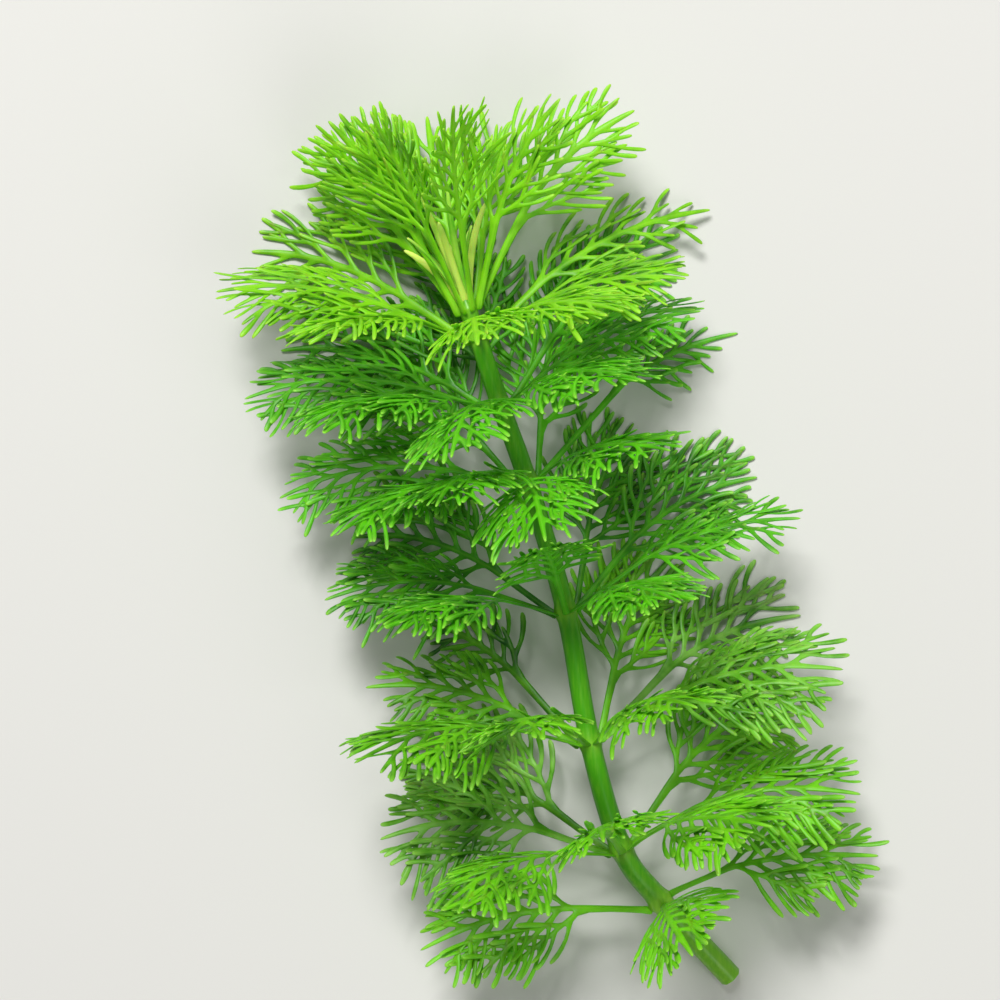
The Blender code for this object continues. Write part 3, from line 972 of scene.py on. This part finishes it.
class LIMNOPHILA_OT_crown_leaves(Operator):
    """Build the open leaves of the top whorls"""

    bl_idname = "limnophila.crown_leaves"
    bl_label = "Crown Leaves"

    def execute(self, context):
        form = context.scene.limnophila.crown
        build_whorls(range(FIRST_MIDDLE_WHORL), form, leaf_material("fresh_leaf_tissue", form))
        return {"FINISHED"}


class LIMNOPHILA_OT_middle_leaves(Operator):
    """Build the finely divided leaves of the middle whorls"""

    bl_idname = "limnophila.middle_leaves"
    bl_label = "Middle Leaves"

    def execute(self, context):
        form = context.scene.limnophila.middle
        whorls = range(FIRST_MIDDLE_WHORL, FIRST_OLD_WHORL)
        build_whorls(whorls, form, leaf_material("grown_leaf_tissue", form))
        return {"FINISHED"}


class LIMNOPHILA_OT_old_leaves(Operator):
    """Build the coarser leaves of the lower whorls"""

    bl_idname = "limnophila.old_leaves"
    bl_label = "Old Leaves"

    def execute(self, context):
        form = context.scene.limnophila.old
        whorls = range(FIRST_OLD_WHORL, len(WHORLS))
        build_whorls(whorls, form, leaf_material("old_leaf_tissue", form))
        return {"FINISHED"}


# The young tip: rings of small leaves, each ring as how many, how far out they start, how far they lean out
# and how long they are.
YOUNG_RINGS = ((8, 0.6, 7.0, 11.5), (5, 0.3, 3.2, 14.5), (2, 0.0, 0.6, 11.0))
YOUNG_LENGTH_SPREAD = 0.2
YOUNG_TONES = (1.05, 0.2)
YOUNG_DEPTH = 0.4
YOUNG_SEED = 9000


class LIMNOPHILA_OT_shoot_tip(Operator):
    """Build the young leaves round the growing tip"""

    bl_idname = "limnophila.shoot_tip"
    bl_label = "Shoot Tip"

    def execute(self, context):
        form = context.scene.limnophila.young
        knots = stem_knots()
        axis = (knots[-1] - knots[-2]).normalized()
        foot = knots[-1] - axis * YOUNG_DEPTH
        side = axis.cross(Vector((0.0, 0.0, 1.0))).normalized()
        gathered = bmesh.new()
        for ring, (count, inset, lean, length) in enumerate(YOUNG_RINGS):
            for i in range(count):
                turn = 2 * math.pi * (i + 0.5 * (ring % 2)) / count
                outward = side.copy()
                outward.rotate(Quaternion(axis, turn))
                number = ring * SEED_STEP + i
                spread = random.Random(number).uniform(-YOUNG_LENGTH_SPREAD, YOUNG_LENGTH_SPREAD)
                reach = (axis * length + outward * lean) * (1 + spread)
                midrib = Midrib(foot, axis, inset - LEAF_GAP, reach, True)
                blade = Blade(form, midrib.length, YOUNG_SEED + number, YOUNG_TONES[(i + ring) % 2])
                blade.grow_strap()
                for vert in blade.bm.verts:
                    vert.co = placed(midrib.place(vert.co))
                part = bpy.data.meshes.new("young_leaf")
                blade.bm.to_mesh(part)
                blade.bm.free()
                gathered.from_mesh(part)
                bpy.data.meshes.remove(part)
        piece = finish_blade(gathered, "young_leaves", form, leaf_material("young_leaf_tissue", form))
        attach(piece, BODY)
        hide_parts("shoot_tip")
        return {"FINISHED"}


# The stem's rings of faces, its ridges, and how far from its node's middle a swelling and a collar reach.
STEM_SIDES = 24
STEM_STEPS = 14
STEM_RIDGES = 8
NODE_REACH = 0.9
COLLAR_REACH = 0.22
COLLAR_HEIGHT = 0.06

# How pale the stem is at its cut end, how much of that it loses with each node, and how pale a node is.
BASE_PALENESS = 0.7
BASE_PALENESS_LOSS = 0.35
NODE_PALENESS = 0.7
NODE_PALENESS_REACH = 1.4

# The ring of air channels is this many times as wide as the rind.
CHANNEL_RING = 2

# The wall between two air channels, and the angle from which an edge stays sharp.
CHANNEL_WALL = 0.07
SHARP_EDGE = math.radians(50)


class LIMNOPHILA_OT_stem(Operator):
    """Build the stem with its nodes and its cut end"""

    bl_idname = "limnophila.stem"
    bl_label = "Stem"

    def ring_matrix(self, route, i, radius):
        """Where a ring of the stem stands: its axes point right, up and along the stem."""
        before, after = route[max(i - 1, 0)][0], route[min(i + 1, len(route) - 1)][0]
        along = (after - before).normalized()
        right = along.cross(Vector((0.0, 0.0, 1.0))).normalized()
        up = right.cross(along)
        turn = Matrix((right, up, along)).transposed().to_4x4()
        return Matrix.Translation(route[i][0]) @ turn @ Matrix.Scale(radius, 4)

    def execute(self, context):
        form = context.scene.limnophila.stem
        knots = stem_knots()
        route = smooth_route(knots, STEM_STEPS)
        bm = bmesh.new()
        pale = bm.verts.layers.float.new("pale")
        bmesh.ops.create_circle(bm, cap_ends=True, segments=STEM_SIDES, radius=1.0)
        for vert in bm.verts:
            angle = math.atan2(vert.co.y, vert.co.x)
            vert.co *= 1 + form.ridge * math.cos(STEM_RIDGES * angle)
        ring = list(bm.verts)
        cut = bm.faces[:]
        last = Matrix.Identity(4)
        rows = []
        for i, (point, spans) in enumerate(route):
            nearest = min(range(1, len(knots) - 1), key=lambda k: (knots[k] - point).length)
            off = (knots[nearest] - point).length
            swelling = (NODE_SWELLING - 1) * math.exp(-((off / NODE_REACH) ** 2))
            collar = COLLAR_HEIGHT * math.exp(-((off / COLLAR_REACH) ** 2))
            radius = stem_radius(spans / (len(knots) - 1)) * (1 + swelling + collar)
            paleness = max(0.0, BASE_PALENESS - spans * BASE_PALENESS_LOSS)
            paleness += NODE_PALENESS * math.exp(-((off / NODE_PALENESS_REACH) ** 2))
            rows.append((self.ring_matrix(route, i, radius), min(1.0, paleness)))
        for i, (matrix, paleness) in enumerate(rows):
            if i:
                edges = [bm.edges.get((a, b)) for a, b in zip(ring, ring[1:] + ring[:1])]
                made = bmesh.ops.extrude_edge_only(bm, edges=edges)["geom"]
                copies = [item for item in made if isinstance(item, bmesh.types.BMVert)]
                ring = [min(copies, key=lambda vert: (vert.co - old.co).length) for old in ring]
            bmesh.ops.transform(bm, matrix=matrix @ last.inverted(), verts=ring)
            for vert in ring:
                vert[pale] = paleness
            last = matrix
        rim = [bm.edges.get((a, b)) for a, b in zip(ring, ring[1:] + ring[:1])]
        bmesh.ops.contextual_create(bm, geom=rim)
        self.open_cut(bm, cut, form, rows[0][0])
        bmesh.ops.recalc_face_normals(bm, faces=bm.faces)
        for vert in bm.verts:
            vert.co = placed(vert.co)
        mesh = bpy.data.meshes.new("stem_with_nodes")
        bm.to_mesh(mesh)
        bm.free()
        mesh.materials.append(stem_material(form))
        mesh.materials.append(pith_material(form))
        mesh.shade_smooth()
        mesh.set_sharp_from_angle(angle=SHARP_EDGE)
        piece = bpy.data.objects.new("stem_with_nodes", mesh)
        bpy.context.scene.collection.objects.link(piece)
        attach(piece, BODY)
        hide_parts("stem")
        return {"FINISHED"}

    def open_cut(self, bm, cut, form, matrix):
        """Gives the cut end its rind, its ring of air channels and its pith."""
        if not cut:
            raise RuntimeError("the cut end of the stem has no face")
        for face in cut:
            face.material_index = 1
        rind = bmesh.ops.inset_region(bm, faces=cut, thickness=form.rind / MM, depth=0.0)["faces"]
        for face in rind:
            face.material_index = 0
        ring_width = form.rind / MM * CHANNEL_RING
        chambers = bmesh.ops.inset_region(bm, faces=cut, thickness=ring_width, depth=0.0)["faces"]
        for face in chambers:
            face.material_index = 1
        chambers.sort(key=lambda face: math.atan2(*(matrix.inverted() @ face.calc_center_median()).xy))
        open_ones = chambers[::2]
        bmesh.ops.inset_individual(bm, faces=open_ones, thickness=CHANNEL_WALL, use_even_offset=True)
        inward = (matrix.to_3x3() @ Vector((0.0, 0.0, 1.0))).normalized() * form.air_channel_depth / MM
        for face in open_ones:
            made = bmesh.ops.extrude_discrete_faces(bm, faces=[face])["faces"][0]
            bmesh.ops.translate(bm, verts=made.verts, vec=inward)


class LIMNOPHILA_OT_stage(Operator):
    """Build the floor, the studio light and the camera"""

    bl_idname = "limnophila.stage"
    bl_label = "Stage"

    def add_light(self, name, power, size, place, target):
        light = bpy.data.lights.new(name, "AREA")
        light.shape = "DISK"
        light.size = size
        light.energy = power
        lamp = bpy.data.objects.new(name, light)
        lamp.location = place
        lamp.rotation_euler = (target - Vector(place)).to_track_quat("-Z", "Y").to_euler()
        bpy.context.scene.collection.objects.link(lamp)

    def execute(self, context):
        form = context.scene.limnophila.stage
        bm = bmesh.new()
        bmesh.ops.create_grid(bm, x_segments=1, y_segments=1, size=form.floor_size / 2)
        mesh = bpy.data.meshes.new("floor")
        bm.to_mesh(mesh)
        bm.free()
        mesh.materials.append(floor_material(form))
        floor = bpy.data.objects.new("floor", mesh)
        context.scene.collection.objects.link(floor)
        middle = placed((*VIEW_CENTRE, VIEW_HEIGHT))
        self.add_light("key_light", form.key_power, KEY_WIDTH, KEY_PLACE, middle)
        self.add_light("fill_light", form.fill_power, FILL_WIDTH, FILL_PLACE, middle)
        world = bpy.data.worlds.new("studio")
        world.use_nodes = True
        background = world.node_tree.nodes["Background"]
        background.inputs["Color"].default_value = (1.0, 1.0, 1.0, 1.0)
        background.inputs["Strength"].default_value = form.sky
        context.scene.world = world
        camera = bpy.data.cameras.new("camera")
        camera.sensor_width = SENSOR_WIDTH
        camera.lens = SENSOR_WIDTH * VIEW_DISTANCE / VIEW_WIDTH
        camera.clip_start = NEAREST_SEEN
        camera_object = bpy.data.objects.new("camera", camera)
        camera_object.location = middle + Vector((0.0, 0.0, VIEW_DISTANCE * MM))
        context.scene.collection.objects.link(camera_object)
        context.scene.camera = camera_object
        return {"FINISHED"}


OPERATORS = (
    LIMNOPHILA_OT_stem,
    LIMNOPHILA_OT_shoot_tip,
    LIMNOPHILA_OT_crown_leaves,
    LIMNOPHILA_OT_middle_leaves,
    LIMNOPHILA_OT_old_leaves,
    LIMNOPHILA_OT_stage,
)


class LIMNOPHILA_PT_sidebar(Panel):
    """The plant's settings, with a button for each group of pieces"""

    bl_label = "Limnophila Stem"
    bl_idname = "LIMNOPHILA_PT_sidebar"
    bl_space_type = "VIEW_3D"
    bl_region_type = "UI"
    bl_category = "Limnophila"

    def draw(self, context):
        settings = context.scene.limnophila
        for group, operator in zip(("stem", "young", "crown", "middle", "old", "stage"), OPERATORS):
            box = self.layout.box()
            box.operator(operator.bl_idname)
            values = getattr(settings, group)
            for name in values.__annotations__:
                box.prop(values, name)


CLASSES = (
    CrownLeafSettings,
    MiddleLeafSettings,
    OldLeafSettings,
    YoungLeafSettings,
    StemSettings,
    StageSettings,
    LimnophilaSettings,
    *OPERATORS,
    LIMNOPHILA_PT_sidebar,
)


def register():
    for cls in CLASSES:
        bpy.utils.register_class(cls)
    bpy.types.Scene.limnophila = PointerProperty(type=LimnophilaSettings)


def unregister():
    del bpy.types.Scene.limnophila
    for cls in reversed(CLASSES):
        bpy.utils.unregister_class(cls)


def main():
    register()
    bpy.ops.limnophila.stem()
    bpy.ops.limnophila.shoot_tip()
    bpy.ops.limnophila.crown_leaves()
    bpy.ops.limnophila.middle_leaves()
    bpy.ops.limnophila.old_leaves()
    bpy.ops.limnophila.stage()
    bpy.context.scene.view_settings.view_transform = "Standard"


if __name__ == "__main__":
    main()
